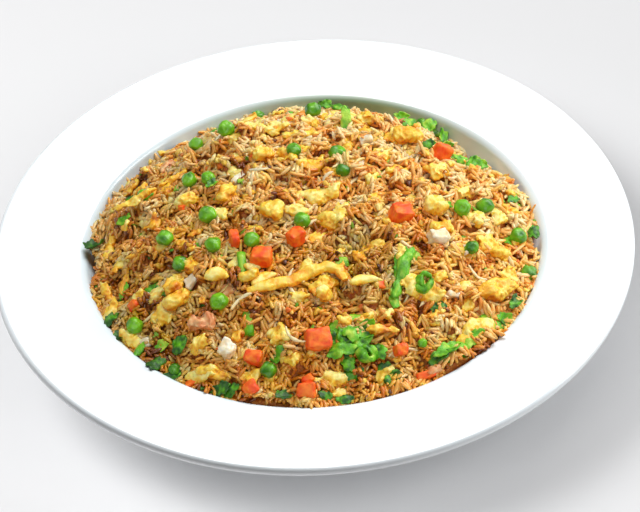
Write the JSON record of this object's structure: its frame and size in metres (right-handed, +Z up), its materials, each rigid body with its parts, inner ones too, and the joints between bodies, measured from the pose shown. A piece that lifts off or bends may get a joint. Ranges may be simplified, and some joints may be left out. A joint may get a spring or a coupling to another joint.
{
  "type": "fried rice plate",
  "caption": "Wide-rimmed white plate heaped with fried rice, peas, diced carrot, scrambled egg and chopped scallion; rests on its foot ring.",
  "frame": {"origin": "on the table under the plate's centre, in the plane of the foot ring", "axes": "+Z up along the plate's axis; +Y away from the viewer, +X to the viewer's right"},
  "size_m": [0.3, 0.3, 0.0725],
  "materials": {
    "plate": "gloss",
    "rice": "satin",
    "pea": "satin",
    "carrot": "satin",
    "egg": "satin",
    "onion": "satin",
    "ham": "satin",
    "scallion": "satin"
  },
  "bodies": {
    "root": {"carrot_01": "carrot", "carrot_02": "carrot", "carrot_03": "carrot", "carrot_04": "carrot", "carrot_05": "carrot", "carrot_06": "carrot", "carrot_07": "carrot", "carrot_08": "carrot", "carrot_09": "carrot", "carrot_10": "carrot", "egg_01": "egg", "egg_02": "egg", "egg_03": "egg", "egg_04": "egg", "egg_05": "egg", "egg_06": "egg", "egg_07": "egg", "egg_08": "egg", "egg_09": "egg", "egg_10": "egg", "egg_11": "egg", "egg_12": "egg", "egg_13": "egg", "egg_14": "egg", "egg_ribbon": "egg", "ham_01": "ham", "onion_01": "onion", "onion_02": "onion", "pea_01": "pea", "pea_02": "pea", "pea_03": "pea", "pea_04": "pea", "pea_05": "pea", "pea_06": "pea", "pea_07": "pea", "pea_08": "pea", "pea_09": "pea", "pea_10": "pea", "pea_11": "pea", "pea_12": "pea", "pea_13": "pea", "pea_14": "pea", "pea_15": "pea", "pea_16": "pea", "pea_17": "pea", "pea_18": "pea", "pea_19": "pea", "pea_20": "pea", "pea_21": "pea", "pea_22": "pea", "plate": "plate", "rice_heap": "rice", "scallion_blade_01": "scallion", "scallion_blade_02": "scallion", "scallion_leaf_01": "scallion", "scallion_leaf_02": "scallion", "scallion_leaf_03": "scallion", "scallion_ring_01": "scallion", "scallion_ring_02": "scallion"}
  },
  "joints": []
}
